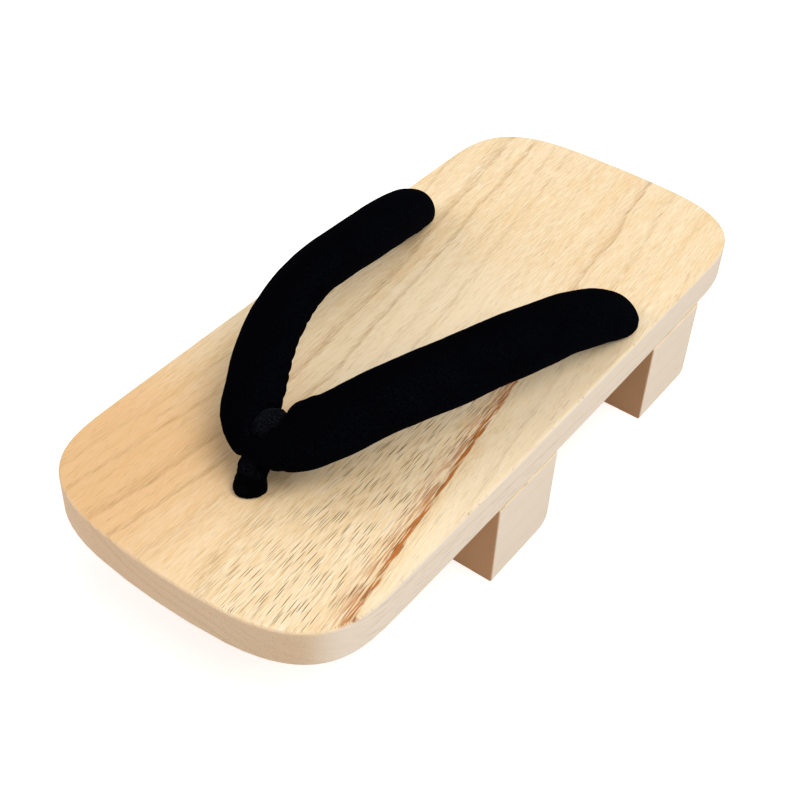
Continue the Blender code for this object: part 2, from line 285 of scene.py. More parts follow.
class StageLook(bpy.types.PropertyGroup):
    paper: bpy.props.FloatVectorProperty(
        name="Paper", description="The pale studio floor",
        subtype="COLOR", default=linear("#D9D5D3"), min=0, max=1)
    key: bpy.props.FloatProperty(
        name="Key light", description="Power of the large soft light, high on the wearer's left",
        unit="POWER", default=15, min=0, max=1000)
    fill: bpy.props.FloatProperty(
        name="Fill light", description="Power of the soft light from ahead, on the wearer's right",
        unit="POWER", default=8.5, min=0, max=1000)
    top: bpy.props.FloatProperty(
        name="Top light", description="Power of the soft light above the heel",
        unit="POWER", default=4.5, min=0, max=1000)
    sky: bpy.props.FloatProperty(
        name="Room light", description="Strength of the white room round the stage",
        default=0.36, min=0, max=10)
    white: bpy.props.FloatProperty(
        name="White", description="How bright the lens sees the room", default=1.1, min=0, max=10)
    lift: bpy.props.FloatProperty(
        name="Lift", description="How much brighter the lens sees the paper",
        default=0.64, min=0, max=10)
    focal_length: bpy.props.FloatProperty(
        name="Focal length", description="Of the camera, in millimetres on a 36 mm sensor",
        unit="CAMERA", default=61, min=10, max=300)


def pore_layer(tree, grain, across_mm, long_mm, share):
    """Dashes along the grain, as a mask. share is the part of the places that hold one."""
    cells = add(tree, "VectorMath", {**TIMES, 0: grain, 1: (1 / across_mm, 1 / long_mm, 0)})[0]
    pits = add(tree, "TexVoronoi", {
        "voronoi_dimensions": "2D", "Vector": cells, "Scale": 1.0, "Randomness": 1.0})
    dash = add(tree, "MapRange", {
        **SMOOTH, "Value": pits["Distance"], "From Min": PORE_EDGE, "From Max": PORE_FLOOR})[0]
    draw = add(tree, "SeparateColor", {0: pits["Color"]})
    chosen = add(tree, "Math", {"operation": "LESS_THAN", 0: draw[0], 1: share})[0]
    strong = add(tree, "Math", {"operation": "MULTIPLY_ADD", 0: draw[1], 1: 0.75, 2: 0.25})[0]
    dash = add(tree, "Math", {**TIMES, 0: dash, 1: chosen})[0]
    return add(tree, "Math", {**TIMES, 0: dash, 1: strong})[0]


def rounded_normal(tree):
    """The normal with the flats of upright corners smoothed, and level edges left crisp."""
    true = add(tree, "NewGeometry", {})["Normal"]
    eased = add(tree, "Bevel", {"samples": 8, "Radius": CORNER_EASE})[0]
    level = [add(tree, "VectorMath", {**TIMES, 0: way, 1: (1, 1, 0)})[0] for way in (true, eased)]
    much = add(tree, "VectorMath", {"operation": "LENGTH", 0: level[0]})["Value"]
    turned = add(tree, "VectorMath", {"operation": "NORMALIZE", 0: level[1]})[0]
    turned = add(tree, "VectorMath", {"operation": "SCALE", 0: turned, "Scale": much})[0]
    rise = add(tree, "VectorMath", {**TIMES, 0: true, 1: (0, 0, 1)})[0]
    return add(tree, "VectorMath", {"operation": "ADD", 0: turned, 1: rise})[0]


def ring_places(tree, mm, leans, depth_slope):
    """How far across the growth rings each point lies, in mm, without and with the fibres' jitter.
    The rings lean across the board as they run along it, and slope down through it."""
    x, y, z = add(tree, "SeparateXYZ", {0: mm})
    on_left = add(tree, "MapRange", {**SMOOTH, "Value": x, "From Min": -15.0, "From Max": 25.0})[0]
    reach = add(tree, "CombineXYZ", {0: y, 1: ARCH_REACH})[0]
    arch = add(tree, "VectorMath", {
        "operation": "DISTANCE", 0: reach, 1: (ARCH_MIDDLE, 0, 0)})["Value"]
    right_lean = add(tree, "Math", {
        "operation": "MULTIPLY_ADD", 0: arch, 1: -RING_LEAN * leans, 2: ARCH_START * leans})[0]
    left_lean = add(tree, "Math", {**TIMES, 0: y, 1: -RING_LEAN * leans})[0]
    lean = add(tree, "Mix", {0: on_left, 2: right_lean, 3: left_lean})[0]

    along = add(tree, "VectorMath", {**TIMES, 0: mm, 1: (1 / 30, 1 / 50, 1 / 30)})[0]
    slow = add(tree, "TexNoise", {
        "Vector": along, "Scale": 1.0, "Detail": 2.0, "Roughness": 0.5})[0]
    close = add(tree, "VectorMath", {**TIMES, 0: mm, 1: (1 / 1.6, 1 / 14, 1 / 1.6)})[0]
    quick = add(tree, "TexNoise", {
        "Vector": close, "Scale": 1.0, "Detail": 3.0, "Roughness": 0.65})[0]
    drift = add(tree, "MapRange", {
        **SMOOTH, "Value": x, "From Min": 20.0, "From Max": 40.0, "To Min": 1.0, "To Max": 0.35})[0]
    wander = add(tree, "Math", {
        "operation": "MULTIPLY_ADD", 0: slow, 1: RING_WANDER, 2: -RING_WANDER / 2})[0]
    wander = add(tree, "Math", {**TIMES, 0: wander, 1: drift})[0]
    jitter = add(tree, "Math", {
        "operation": "MULTIPLY_ADD", 0: quick, 1: RING_JITTER, 2: -RING_JITTER / 2})[0]

    level = add(tree, "Math", {"operation": "SUBTRACT", 0: x, 1: lean})[0]
    deep = add(tree, "Math", {
        "operation": "MULTIPLY_ADD", 0: z, 1: depth_slope, 2: -depth_slope * BOARD_TOP / MM})[0]
    level = add(tree, "Math", {"operation": "ADD", 0: level, 1: deep})[0]
    level = add(tree, "Math", {"operation": "ADD", 0: level, 1: wander})[0]
    return level, add(tree, "Math", {"operation": "ADD", 0: level, 1: jitter})[0]


def growth_lines(tree, ring, fibre, lying, lines):
    """The named growth lines and fainter ones everywhere, broken up by the fibres, as a mask.
    They are weaker on upright faces."""
    spread = add(tree, "MapRange", {
        "Value": ring, "From Min": -LINES_REACH, "From Max": LINES_REACH})[0]
    named = add(tree, "ValToRGB", {0: spread})[0]
    stops = named.node.color_ramp.elements
    stops.remove(stops[-1])
    stops[0].position, stops[0].color = 0, (0, 0, 0, 1)
    for line in lines:
        for shift_mm, grey in ((-line.width_mm, 0), (0, line.strength), (LINE_FALL, 0)):
            place = (line.place_mm + shift_mm + LINES_REACH) / (2 * LINES_REACH)
            stops.new(place).color = (grey, grey, grey, 1)
    share = add(tree, "Math", {"operation": "DIVIDE", 0: ring, 1: FAINT_PITCH})[0]
    share = add(tree, "Math", {"operation": "FRACT", 0: share})[0]
    faint = add(tree, "Math", {"operation": "POWER", 0: share, 1: 6.0})[0]
    faint = add(tree, "Math", {**TIMES, 0: faint, 1: FAINT_STRENGTH})[0]
    lined = add(tree, "Math", {"operation": "MAXIMUM", 0: named, 1: faint})[0]
    broken = add(tree, "MapRange", {
        **SMOOTH, "Value": fibre, "From Min": 0.35, "From Max": 0.62,
        "To Min": 0.25, "To Max": 1.15})[0]
    lined = add(tree, "Math", {**TIMES, 0: lined, 1: broken, "use_clamp": True})[0]
    plain = add(tree, "MapRange", {
        **SMOOTH, "Value": lying, "From Min": 0.2, "From Max": 0.95, "To Min": 0.6})[0]
    return add(tree, "Math", {**TIMES, 0: lined, 1: plain})[0]


def face_tones(tree, colour, look, x, y, level):
    """The board's face: browner at the toe on the wearer's right, and paler beyond the streak.
    Along the middle, between the straps, it is paler too: painted light against the straps' shade."""
    to_right = add(tree, "MapRange", {**SMOOTH, "Value": x, "From Min": 25.0, "From Max": -30.0})[0]
    to_toe = add(tree, "MapRange", {
        **SMOOTH, "Value": y, "From Min": -30.0, "From Max": -95.0, "To Max": 0.75})[0]
    cheek = add(tree, "Math", {**TIMES, 0: to_right, 1: to_toe})[0]
    colour = add(tree, "Mix", {**LAID, 0: cheek, 6: colour, 7: colour_of(look.warm)})[2]

    outside = add(tree, "MapRange", {
        **SMOOTH, "Value": level, "From Min": 36.0, "From Max": 44.0})[0]
    ahead = add(tree, "MapRange", {
        **SMOOTH, "Value": y, "From Min": 60.0, "From Max": -10.0, "To Max": 0.6})[0]
    rim = add(tree, "Math", {**TIMES, 0: outside, 1: ahead})[0]
    colour = add(tree, "Mix", {**LAID, 0: rim, 6: colour, 7: colour_of(look.pale)})[2]

    # Painted light: the middle between the straps is lifted towards the pale colour, against the
    # straps' shade
    from_middle = [add(tree, "Math", {"operation": "ABSOLUTE", 0: way})[0] for way in (x, y)]
    painted_light_between_straps = add(tree, "MapRange", {
        **SMOOTH, "Value": from_middle[0], "From Min": 34.0, "From Max": 14.0})[0]
    length = add(tree, "MapRange", {
        **SMOOTH, "Value": from_middle[1], "From Min": 65.0, "From Max": 25.0, "To Max": 0.5})[0]
    painted_light_between_straps = add(tree, "Math", {**TIMES, 0: painted_light_between_straps, 1: length})[0]
    return add(tree, "Mix", {**LAID, 0: painted_light_between_straps, 6: colour, 7: colour_of(look.pale)})[2]


def streak_threads(tree, over, upward, y, level, ring):
    """The reddish streak: short threads along the grain that all end at one sharp outer line.
    Gives how near each point is to it, and the threads, as masks."""
    rising = add(tree, "MapRange", {
        "Value": level, "From Min": STREAK_START, "From Max": STREAK_LINE})[0]
    rising = add(tree, "Math", {"operation": "POWER", 0: rising, 1: 1.7})[0]
    edge = add(tree, "MapRange", {
        **SMOOTH, "Value": ring, "From Min": STREAK_LINE + 0.5, "From Max": STREAK_LINE - 0.1})[0]
    fades = add(tree, "MapRange", {
        **SMOOTH, "Value": y, "From Min": 45.0, "From Max": -5.0, "To Min": 0.15})[0]
    on_face = add(tree, "MapRange", {
        **SMOOTH, "Value": upward, "From Min": 0.5, "From Max": 0.95})[0]
    near = rising
    for limit in (edge, fades, on_face):
        near = add(tree, "Math", {**TIMES, 0: near, 1: limit})[0]

    threads = add(tree, "VectorMath", {**TIMES, 0: over, 1: (1 / 0.6, 1 / 11, 0)})[0]
    thread = add(tree, "TexNoise", {
        "Vector": threads, "Scale": 1.0, "Detail": 2.0, "Roughness": 0.6})[0]
    strong = add(tree, "MapRange", {
        **SMOOTH, "Value": thread, "From Min": 0.44, "From Max": 0.54})[0]
    red = add(tree, "Math", {**TIMES, 0: near, 1: strong})[0]
    core = add(tree, "MapRange", {
        **SMOOTH, "Value": ring, "From Min": STREAK_LINE - 1.3, "From Max": STREAK_LINE - 0.3,
        "To Min": 0.1, "To Max": 0.7})[0]
    thin = add(tree, "Math", {**TIMES, 0: near, 1: core})[0]
    broken = add(tree, "MapRange", {
        **SMOOTH, "Value": thread, "From Min": 0.40, "From Max": 0.54, "To Min": 0.15})[0]
    thin = add(tree, "Math", {**TIMES, 0: thin, 1: broken})[0]
    return near, add(tree, "Math", {"operation": "ADD", 0: thin, 1: red, "use_clamp": True})[0]


def open_pores(tree, over, look, x, y, level, lying, facing_ends, lined, near, pores):
    """Open pores, 0.2 mm wide: fine ones over the whole face, and many long ones near the toe,
    at the growth lines and by the streak, as a mask."""
    inner = add(tree, "MapRange", {**SMOOTH, "Value": x, "From Min": 2.0, "From Max": 26.0})[0]
    outer = add(tree, "MapRange", {**SMOOTH, "Value": level, "From Min": 38.0, "From Max": 34.5})[0]
    toe = add(tree, "MapRange", {**SMOOTH, "Value": y, "From Min": 25.0, "From Max": -30.0})[0]
    crowd = add(tree, "Math", {**TIMES, 0: inner, 1: outer})[0]
    crowd = add(tree, "Math", {**TIMES, 0: crowd, 1: toe})[0]
    crowd = add(tree, "Math", {"operation": "MULTIPLY_ADD", 0: lined, 1: 0.7, 2: crowd})[0]
    if near is not None:
        crowd = add(tree, "Math", {"operation": "MULTIPLY_ADD", 0: near, 1: 0.5, 2: crowd})[0]
    crowd = add(tree, "Math", {
        "operation": "MULTIPLY_ADD", 0: crowd, 1: 1.25 * pores, 2: 0.10 * pores})[0]
    across, length = look.pore_spacing / MM, look.pore_length / MM
    long_pores = pore_layer(tree, over, across, length, crowd)
    some = add(tree, "Math", {"operation": "MULTIPLY_ADD", 0: crowd, 1: 0.5, 2: 0.35})[0]
    short_pores = pore_layer(tree, over, across * 0.7, length * 0.45, some)
    dark = add(tree, "Math", {"operation": "MULTIPLY_ADD", 0: crowd, 1: 0.70, 2: 0.35})[0]
    dark = add(tree, "Math", {**TIMES, 0: long_pores, 1: dark})[0]
    dark = add(tree, "Math", {
        "operation": "MULTIPLY_ADD", 0: short_pores, 1: 0.34, 2: dark, "use_clamp": True})[0]
    # They show less on the sides, and stop where the face rounds down to an end
    flat = add(tree, "MapRange", {
        **SMOOTH, "Value": lying, "From Min": 0.2, "From Max": 0.95, "To Min": 0.3})[0]
    stops = add(tree, "MapRange", {
        **SMOOTH, "Value": facing_ends, "From Min": 0.45, "From Max": 0.1})[0]
    dark = add(tree, "Math", {**TIMES, 0: dark, 1: flat})[0]
    return add(tree, "Math", {**TIMES, 0: dark, 1: stops})[0]


def grown_wood(name, look, lines, leans, depth_slope, streak, pores):
    """Planed paulownia, a pale soft wood: straight fibres with a silky, matt gleam, thin brown
    growth lines, and short open pores that show as dark dashes on faces and dots on end grain."""
    made, tree, shader = new_material(name)
    place = add(tree, "TexCoord", {})["Object"]
    mm = add(tree, "VectorMath", {"operation": "SCALE", 0: place, "Scale": 1000.0})[0]
    x, y, z = add(tree, "SeparateXYZ", {0: mm})
    level, ring = ring_places(tree, mm, leans, depth_slope)
    normal = rounded_normal(tree) if leans else add(tree, "NewGeometry", {})["Normal"]
    turned = add(tree, "SeparateXYZ", {0: normal})
    facing_sides, facing_ends, lying = [
        add(tree, "Math", {"operation": "ABSOLUTE", 0: way})[0] for way in turned]

    # Fibres and pores run almost straight along the board, leaning a little towards the middle
    turn = add(tree, "MapRange", {
        **SMOOTH, "Value": x, "From Min": 15.0, "From Max": 55.0,
        "To Min": 0.035 * leans, "To Max": 0.11 * leans})[0]
    shift = add(tree, "Math", {"operation": "MULTIPLY_ADD", 0: y, 1: turn, 2: x})[0]
    grain = add(tree, "CombineXYZ", {0: shift, 1: y, 2: z})[0]
    # Pores are counted over the face and on round the edges, down the sides
    round_edges = add(tree, "Math", {"operation": "ADD", 0: shift, 1: z})[0]
    over = add(tree, "CombineXYZ", {0: round_edges, 1: y})[0]
    # Fibres are under 0.1 mm wide, and drawn 0.45 mm wide so that they show
    drawn = add(tree, "VectorMath", {**TIMES, 0: grain, 1: (1 / 0.45, 1 / 8, 1 / 0.45)})[0]
    fibre = add(tree, "TexNoise", {
        "Vector": drawn, "Scale": 1.0, "Detail": 4.0, "Roughness": 0.7})[0]
    broad = add(tree, "VectorMath", {**TIMES, 0: grain, 1: (1 / 7, 1 / 90, 1 / 7)})[0]
    band = add(tree, "TexNoise", {"Vector": broad, "Scale": 1.0, "Detail": 3.0})[0]
    lined = growth_lines(tree, ring, fibre, lying, lines)

    # Planed face, from the tones of its fibres and broad bands
    tone = add(tree, "Math", {"operation": "MULTIPLY_ADD", 0: fibre, 1: 3.0, 2: -1.45})[0]
    tone = add(tree, "Math", {
        "operation": "MULTIPLY_ADD", 0: band, 1: 1.0, 2: tone, "use_clamp": True})[0]
    colour = add(tree, "Mix", {
        **LAID, 0: tone, 6: colour_of(look.pale), 7: colour_of(look.face)})[2]
    if leans:
        colour = face_tones(tree, colour, look, x, y, level)

    # End grain takes its own tone. The long sides take a paler tone, partly the sawn wood's own and
    # partly painted light, and the toe side of the teeth gets painted shade.
    ends = add(tree, "MapRange", {
        **SMOOTH, "Value": facing_ends, "From Min": 0.35, "From Max": 0.9, "To Max": 0.85})[0]
    colour = add(tree, "Mix", {**LAID, 0: ends, 6: colour, 7: colour_of(look.end)})[2]
    # Painted shade: the teeth's faces towards the toe are darkened in colour
    if not leans:
        painted_shade_mask = add(tree, "MapRange", {
            **SMOOTH, "Value": turned[1], "From Min": -0.3, "From Max": -0.9, "To Max": 0.75})[0]
        colour = add(tree, "Mix", {**LAID, 0: painted_shade_mask, 6: colour, 7: colour_of(look.toe_side_painted_shade)})[2]
    dots = add(tree, "VectorMath", {**TIMES, 0: mm, 1: (1 / 0.5, 1 / 2, 1 / 0.5)})[0]
    dots = add(tree, "TexNoise", {"Vector": dots, "Scale": 1.0, "Detail": 2.0, "Roughness": 0.7})[0]
    dots = add(tree, "MapRange", {
        **SMOOTH, "Value": dots, "From Min": 0.48, "From Max": 0.68, "To Max": 0.30})[0]
    dots = add(tree, "Math", {**TIMES, 0: dots, 1: ends})[0]
    colour = add(tree, "Mix", {**LAID, 0: dots, 6: colour, 7: colour_of(look.line)})[2]
    # The long sides turn paler: partly the sawn wood's tone, partly painted light
    sawn = add(tree, "MapRange", {
        **SMOOTH, "Value": facing_sides, "From Min": 0.55, "From Max": 0.95, "To Max": 0.9})[0]
    colour = add(tree, "Mix", {**LAID, 0: sawn, 6: colour, 7: colour_of(look.side)})[2]
    colour = add(tree, "Mix", {**LAID, 0: lined, 6: colour, 7: colour_of(look.line)})[2]

    near = None
    if streak:
        near, red = streak_threads(tree, over, turned[2], y, level, ring)
        colour = add(tree, "Mix", {**LAID, 0: red, 6: colour, 7: colour_of(look.streak)})[2]
    dark = open_pores(tree, over, look, x, y, level, lying, facing_ends, lined, near, pores)
    colour = add(tree, "Mix", {**LAID, 0: dark, 6: colour, 7: colour_of(look.pore)})[2]

    tree.links.new(colour, shader.inputs["Base Color"])
    shader.inputs["Roughness"].default_value = 0.56
    shader.inputs["Specular IOR Level"].default_value = 0.35
    height = add(tree, "Math", {**TIMES, 0: fibre, 1: 0.6})[0]
    height = add(tree, "Math", {"operation": "SUBTRACT", 0: height, 1: dark})[0]
    bump = add(tree, "Bump", {
        "Strength": 0.4, "Distance": look.relief, "Height": height, "Normal": normal})[0]
    tree.links.new(bump, shader.inputs["Normal"])
    return made


def velvet(name, look, nap_and_painted_sheen, way, dark_to, sheen):
    """Woven cotton velvet, black: a short dense pile that swallows light, a few specks of lint, and
    a faint blue-grey gleam painted into its colour where it faces the light. way is the axis that
    the light comes along, and faces turned to it by less than dark_to get no painted sheen and stay
    dark."""
    made, tree, shader = new_material(name)
    place = add(tree, "TexCoord", {})["Object"]
    mm = add(tree, "VectorMath", {"operation": "SCALE", 0: place, "Scale": 1000.0})[0]

    # Pile tufts are about 0.2 mm apart, and drawn at 0.5 mm so that they show
    tuft = add(tree, "TexNoise", {"Vector": mm, "Scale": 2.0, "Detail": 3.0, "Roughness": 0.7})[0]
    brushed = add(tree, "TexNoise", {"Vector": mm, "Scale": 0.09, "Detail": 3.0})[0]
    turned = add(tree, "SeparateXYZ", {0: add(tree, "NewGeometry", {})["Normal"]})
    # Painted sheen: faces turned to the light along way get the nap colour, in brushed patches
    facing = add(tree, "MapRange", {
        **SMOOTH, "Value": turned[way], "From Min": dark_to, "From Max": 0.9})[0]
    speck = add(tree, "MapRange", {"Value": tuft, "From Min": 0.42, "From Max": 0.75})[0]
    lift = add(tree, "Math", {**TIMES, 0: facing, 1: brushed})[0]
    lift = add(tree, "Math", {"operation": "MULTIPLY_ADD", 0: lift, 1: 1.2, 2: 0.05})[0]
    lift = add(tree, "Math", {**TIMES, 0: lift, 1: speck, "use_clamp": True})[0]
    colour = add(tree, "Mix", {**LAID, 0: lift, 6: colour_of(look.cloth), 7: colour_of(nap_and_painted_sheen)})[2]
    # Lint lies about 17 mm apart
    specks = add(tree, "TexVoronoi", {"Vector": mm, "Scale": 1 / 17, "Randomness": 1.0})["Distance"]
    lint = add(tree, "MapRange", {
        "Value": specks, "From Min": 0.02, "From Max": 0.008, "To Max": 0.5})[0]
    colour = add(tree, "Mix", {**LAID, 0: lint, 6: colour, 7: colour_of(look.lint)})[2]
    tree.links.new(colour, shader.inputs["Base Color"])
    shader.inputs["Roughness"].default_value = 0.95
    shader.inputs["Specular IOR Level"].default_value = 0
    shader.inputs["Sheen Weight"].default_value = sheen
    shader.inputs["Sheen Roughness"].default_value = 0.45
    shader.inputs["Sheen Tint"].default_value = colour_of(linear("#CBD4FF"))
    bump = add(tree, "Bump", {"Strength": 0.6, "Distance": 0.0002, "Height": tuft})[0]
    tree.links.new(bump, shader.inputs["Normal"])
    return made


def only(piece):
    """Selects one object alone, and makes it the active one."""
    bpy.ops.object.select_all(action="DESELECT")
    bpy.context.view_layer.objects.active = piece
    piece.select_set(True)


def apply(piece, kind, settings):
    """Adds a modifier and applies it at once."""
    only(piece)
    modifier = piece.modifiers.new(kind.lower(), kind)
    for name, value in settings.items():
        setattr(modifier, name, value)
    bpy.ops.object.modifier_apply(modifier=modifier.name)


def points(piece):
    co = np.empty(len(piece.data.vertices) * 3)
    piece.data.vertices.foreach_get("co", co)
    return co.reshape(-1, 3)


def normals(piece):
    co = np.empty(len(piece.data.vertices) * 3)
    piece.data.vertices.foreach_get("normal", co)
    return co.reshape(-1, 3)


def set_points(piece, co):
    piece.data.vertices.foreach_set("co", co.ravel())
    piece.data.update()


def cloth_over(node, name, voxel):
    """A closed skin in one even mesh over the part of a soft solid that is above the board."""
    piece = bpy.data.objects.new(name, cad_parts[node].data.copy())
    piece.data.materials.clear()
    bpy.context.scene.collection.objects.link(piece)
    only(piece)
    bpy.ops.object.mode_set(mode="EDIT")
    bpy.ops.mesh.select_all(action="SELECT")
    bpy.ops.mesh.remove_doubles(threshold=0.00001)
    bpy.ops.mesh.select_all(action="SELECT")
    bpy.ops.mesh.bisect(
        plane_co=(0, 0, CLOTH_FOOT), plane_no=(0, 0, 1), use_fill=True, clear_inner=True)
    bpy.ops.object.mode_set(mode="OBJECT")
    apply(piece, "REMESH", {"mode": "VOXEL", "voxel_size": voxel})
    return piece


def stuff(piece, swell):
    """Fills the cloth under pressure, held where it meets the board. It moves by swell at most."""
    co = points(piece)
    start = co - normals(piece) * swell * 0.6
    start[:, 2] = np.maximum(start[:, 2], CLOTH_FOOT)
    set_points(piece, start)
    held = piece.vertex_groups.new(name="held")
    low = np.nonzero(co[:, 2] < CLOTH_FOOT + 0.0008)[0]
    held.add([int(v) for v in low], 1, "REPLACE")
    only(piece)
    cloth = piece.modifiers.new("cloth", "CLOTH")
    settings = cloth.settings
    settings.quality = 5
    settings.mass = 0.002
    settings.tension_stiffness = settings.compression_stiffness = 8
    settings.shear_stiffness = 3
    settings.bending_stiffness = 0.02
    settings.use_pressure = True
    settings.uniform_pressure_force = 4
    settings.vertex_group_mass = "held"
    settings.effector_weights.gravity = 0
    for step in range(1, 21):
        bpy.context.scene.frame_set(step)
    bpy.ops.object.modifier_apply(modifier="cloth")
    bpy.context.scene.frame_set(1)
    move = points(piece) - start
    far = np.linalg.norm(move, axis=1, keepdims=True)
    move *= np.minimum(1, swell / np.maximum(far, 1e-9))
    set_points(piece, start + move)


def middle_line(rows, side):
    """Points a millimetre apart along a strap's middle."""
    table = np.array(rows)
    curve = np.column_stack((
        side * table[:, 1] * REAR_HOLE_X,
        FRONT_HOLE_Y + table[:, 0] * (REAR_HOLE_Y - FRONT_HOLE_Y),
        BOARD_TOP + table[:, 2] * STRAP_RISE,
    ))
    walked = np.concatenate(([0], np.cumsum(np.linalg.norm(np.diff(curve, axis=0), axis=1))))
    steps = np.arange(0, walked[-1], MM)
    return np.column_stack([np.interp(steps, walked, curve[:, axis]) for axis in range(3)])


def strap_places(co):
    """Which strap each point is on, how far along it, and its turn from the inner edge upwards."""
    lines = [middle_line(LEFT_ARM, 1), middle_line(RIGHT_ARM, -1)]
    gaps, found = [], []
    for side, line in zip((1, -1), lines):
        away = np.linalg.norm(co[:, None] - line[None], axis=2)
        near = away.argmin(axis=1)
        ahead = np.gradient(line, axis=0)
        ahead /= np.linalg.norm(ahead, axis=1, keepdims=True)
        out = side * np.cross(ahead, (0, 0, 1))
        out /= np.linalg.norm(out, axis=1, keepdims=True)
        above = side * np.cross(out, ahead)
        reach = co - line[near]
        inward = -(reach * out[near]).sum(axis=1)
        upward = (reach * above[near]).sum(axis=1)
        gaps.append(away.min(axis=1))
        found.append((near * MM, np.arctan2(upward, inward)))
    left = gaps[0] < gaps[1]
    along = np.where(left, found[0][0], found[1][0])
    turn = np.where(left, found[0][1], found[1][1])
    return left, along, turn


def bell(value, middle, width):
    return np.exp(-((value - middle) / width) ** 2)


def around(along, spot):
    return spot.much * bell(along, spot.along, spot.reach)


def lumps(co, per_metre):
    """The unevenness of stuffing at each point, from -1 to 1."""
    return np.array([noise.noise(Vector(point) * per_metre) for point in co])


def gather_straps(piece, look):
    """Sews the straps: gathers on their inner edges, a seam below, and uneven stuffing."""
    co, facing = points(piece), normals(piece)
    left, along, turn = strap_places(co)
    pitches = along / look.gather_pitch
    wave = pitches + 0.16 * np.sin(pitches * 2.3)
    valley = np.abs(np.cos(pi * wave)) ** 6
    everywhere_on_left = 0.12
    gathered = np.where(
        left, around(along, GATHERS_ON_LEFT) + everywhere_on_left, around(along, GATHERS_ON_RIGHT))
    inner_edge = bell(turn, radians(8), radians(42))
    depth = look.gather_depth * valley * inner_edge * gathered
    depth += look.seam_depth * bell(turn, radians(-75), radians(7))
    depth -= lumps(co, 90) * 0.00035 + look.fullness
    # The stuffing stands fuller on the inner edge of the strap on the wearer's left, by the toe
    upper = bell(turn, radians(40), radians(45)) * left
    depth -= upper * sum(around(along, spot) for spot in FULLER_ON_LEFT)
    moved = co - facing * depth[:, None]
    moved[:, 2] = np.maximum(moved[:, 2], CLOTH_LOWEST)
    set_points(piece, moved)


def gather_loop(piece):
    """Gathers the toe loop: folds that run up its stem, and fine ones along its band."""
    co, facing = points(piece), normals(piece)
    height = co[:, 2] - BOARD_TOP
    on_stem = 1 / (1 + np.exp((co[:, 2] - NECK.z + 0.004) / 0.0012))
    on_band = 1 - on_stem

    # Five folds wind up the stem, above a tight one where the band presses on it
    turn = np.arctan2(co[:, 1] - (FRONT_HOLE_Y + 0.003), co[:, 0])
    folds = np.sin(5 * turn + height / 0.004) ** 3
    depth = 0.00035 * folds * on_stem
    depth += 0.0004 * bell(height, 0.0052, 0.0009) * on_stem
    # Ridges lie 3.2 mm apart along the band
    ridges = np.sin(co[:, 0] / 0.0032 * 2 * pi + 0.6)
    depth += 0.00022 * ridges * on_band
    stem_fullness = 0.0004
    depth -= lumps(co, 260) * 0.0003 + stem_fullness * on_stem

    moved = co - facing * depth[:, None]
    moved[:, :2] += on_stem[:, None] * (0.0005, -0.0005)
    # The band ends short of the fork of the straps
    rear_share = np.clip((co[:, 1] + 0.074) / 0.010, 0, 1)
    moved[:, 1] -= rear_share * 0.0030 * on_band
    moved[:, 2] = np.maximum(moved[:, 2], CLOTH_LOWEST)
    set_points(piece, moved)


def finish_cloth(piece, material, node):
    """One subdivision, smooth shading, the velvet, and its place on the sandal."""
    apply(piece, "SUBSURF", {"levels": 1, "render_levels": 1})
    only(piece)
    bpy.ops.object.shade_smooth()
    piece.data.materials.append(material)
    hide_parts(node)
    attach(piece, "root")


def knot_points(x, y):
    """Points along a cord that comes down through a hole and ends below in an overhand knot."""
    middle = BOARD_LOW.z - KNOT_DROP
    route = [
        (0, 0, BOARD_TOP - 0.001 - middle), (0, 0, KNOT_DROP + 0.003),
        (0.0006, 0, KNOT_DROP - 0.0013), (0.0022, 0.0006, 0.0022),
    ]
    for step in range(3, 31):
        turn = 2 * pi * step / 32
        out = KNOT_LOOP * (2 + cos(3 * turn))
        route.append((out * cos(2 * turn), out * sin(2 * turn), KNOT_RISE * sin(3 * turn)))
    tail = [(0.0047, -0.0020, -0.0012), (0.0056, -0.0034, -0.0021)]
    return [(x + a, y + b, middle + c) for a, b, c in route + tail]


def tie_knot(name, x, y, material, node):
    curve = bpy.data.curves.new(name, "CURVE")
    curve.dimensions = "3D"
    curve.bevel_depth = CORD_RADIUS
    curve.bevel_resolution = 3
    curve.use_fill_caps = True
    spline = curve.splines.new("NURBS")
    route = knot_points(x, y)
    spline.points.add(len(route) - 1)
    for point, place in zip(spline.points, route):
        point.co = (*place, 1)
    spline.use_endpoint_u = True
    spline.order_u = 4
    spline.resolution_u = 4
    piece = bpy.data.objects.new(name, curve)
    bpy.context.scene.collection.objects.link(piece)
    only(piece)
    bpy.ops.object.convert(target="MESH")
    bpy.ops.object.shade_smooth()
    piece.data.materials.append(material)
    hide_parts(node)
    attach(piece, "root")


def cord_material(look):
    """Twisted cotton cord, dyed black: matt, with fine ridges where its strands lie."""
    made, tree, shader = new_material("cotton_cord_twisted")
    place = add(tree, "TexCoord", {})["Object"]
    mm = add(tree, "VectorMath", {"operation": "SCALE", 0: place, "Scale": 1000.0})[0]
    # Strands are 0.6 mm wide
    strand = add(tree, "TexWave", {
        "Vector": mm, "Scale": 0.5, "Distortion": 2.0, "bands_direction": "DIAGONAL"})[0]
    colour = add(tree, "Mix", {
        **LAID, 0: strand, 6: colour_of(look.cloth), 7: colour_of(look.nap_and_painted_sheen)})[2]
    tree.links.new(colour, shader.inputs["Base Color"])
    shader.inputs["Roughness"].default_value = 0.85
    shader.inputs["Specular IOR Level"].default_value = 0.15
    bump = add(tree, "Bump", {"Strength": 0.8, "Distance": 0.0003, "Height": strand})[0]
    tree.links.new(bump, shader.inputs["Normal"])
    return made


def finish_node(name, material):
    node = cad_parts[name]
    node.data.materials.clear()
    node.data.materials.append(material)


